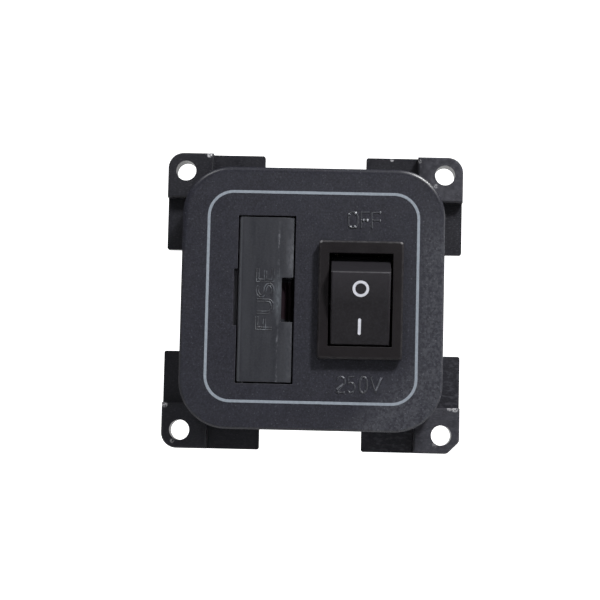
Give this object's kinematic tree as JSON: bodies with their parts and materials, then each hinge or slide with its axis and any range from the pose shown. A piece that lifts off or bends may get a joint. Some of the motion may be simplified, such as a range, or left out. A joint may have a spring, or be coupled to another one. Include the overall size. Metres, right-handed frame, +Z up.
{
  "type": "fused spur unit",
  "caption": "Modular fused spur: four-tab mounting frame, clip-on square face plate, swing-out cartridge fuse carrier and double-pole rocker switch.",
  "frame": {"origin": "centre of the four screw holes, on the plane of the frame's back face", "axes": "+X to the right seen from the front, +Z up, +Y into the wall; the face looks along -Y"},
  "size_m": [0.054, 0.0257, 0.054],
  "materials": {
    "frame_plastic": "semi-gloss moulded black plastic",
    "face_plastic": "fine satin texture, dark slate grey",
    "carrier_plastic": "semi-gloss dark grey with flow marks",
    "switch_plastic": "satin black",
    "rocker_plastic": "semi-gloss black",
    "ceramic": "unglazed off-white ceramic",
    "nickel": "nickel-plated brass",
    "copper_wire": "bare drawn wire",
    "terminal_brass": "stamped brass",
    "bridge_copper": "stamped copper alloy",
    "contact_silver": "bright silver rivet",
    "plunger_metal": "turned brass",
    "spring_steel": "drawn spring steel"
  },
  "bodies": {
    "unit": {"mounting_frame": "frame_plastic", "face_plate": "face_plastic", "fuse_housing": "frame_plastic", "fuse_contact_upper": "terminal_brass", "fuse_contact_lower": "terminal_brass", "switch_housing": "switch_plastic", "common_terminal_left": "terminal_brass", "common_terminal_right": "terminal_brass", "load_terminal_left": "terminal_brass", "load_terminal_right": "terminal_brass", "fixed_contact_left": "contact_silver", "fixed_contact_right": "contact_silver"},
    "carrier": {"fuse_carrier": "carrier_plastic", "fuse_barrel": "ceramic", "fuse_element": "copper_wire", "fuse_cap_upper": "nickel", "fuse_cap_lower": "nickel"},
    "rocker_key": {"rocker": "rocker_plastic", "plunger_left": "plunger_metal", "plunger_right": "plunger_metal", "plunger_spring_left": "spring_steel", "plunger_spring_right": "spring_steel"},
    "bridge_left": {"contact_bridge_left": "bridge_copper", "moving_contact_left": "contact_silver"},
    "bridge_right": {"contact_bridge_right": "bridge_copper", "moving_contact_right": "contact_silver"}
  },
  "joints": [
    {"name": "fuse_carrier_swing", "type": "hinge", "parent": "unit", "child": "carrier", "pos_m": [-0.01235, -0.01105, -0.0003], "axis": [0, 0, -1], "range_deg": [0, 70]},
    {"name": "rocker_tilt", "type": "hinge", "parent": "unit", "child": "rocker_key", "pos_m": [0.00855, -0.0086, -0.0002], "axis": [1, 0, 0], "range_deg": [-28, 0]},
    {"name": "bridge_left_tilt", "type": "hinge", "parent": "unit", "child": "bridge_left", "pos_m": [0.00595, -0.0009, -0.0002], "axis": [1, 0, 0], "range_deg": [0, 18]},
    {"name": "bridge_right_tilt", "type": "hinge", "parent": "unit", "child": "bridge_right", "pos_m": [0.01115, -0.0009, -0.0002], "axis": [1, 0, 0], "range_deg": [0, 18]}
  ],
  "couplings": [
    {"joint": "bridge_left_tilt", "follows": "rocker_tilt", "ratio": -0.64286},
    {"joint": "bridge_right_tilt", "follows": "rocker_tilt", "ratio": -0.64286}
  ]
}
